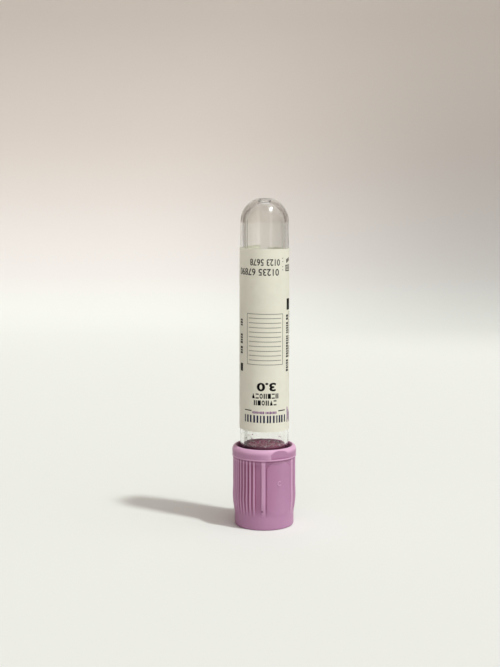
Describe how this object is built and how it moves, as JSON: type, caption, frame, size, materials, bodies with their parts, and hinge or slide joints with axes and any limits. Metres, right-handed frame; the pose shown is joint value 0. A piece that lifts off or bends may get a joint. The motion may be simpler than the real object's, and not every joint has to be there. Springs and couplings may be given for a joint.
{
  "type": "blood collection tube",
  "caption": "Clear round-ended specimen tube with a paper label, a rubber stopper and a ribbed pull-off safety cap, standing on its cap.",
  "frame": {"origin": "centre of the cap's flat end face, which the tube stands on", "axes": "+Z along the tube's axis, from the cap to the round end; -Y is the front of the label, opposite its clear window; the middle of the first grip pad lies 29.5 degrees from -Y towards +X"},
  "size_m": [0.0166, 0.0166, 0.0848],
  "materials": {
    "clear_polyester": "clear, glossy moulded polyester",
    "label_paper": "coated cream paper, satin",
    "stopper_rubber": "soft matte butyl rubber, mauve",
    "cap_plastic": "satin moulded polypropylene, lavender"
  },
  "bodies": {
    "closure": {"cap": "cap_plastic", "stopper": "stopper_rubber"},
    "barrel": {"tube": "clear_polyester", "label": "label_paper"}
  },
  "joints": [
    {"name": "tube_pull", "type": "slide", "parent": "closure", "child": "barrel", "axis": [0, 0, 1], "range_m": [0, 0.03]}
  ]
}
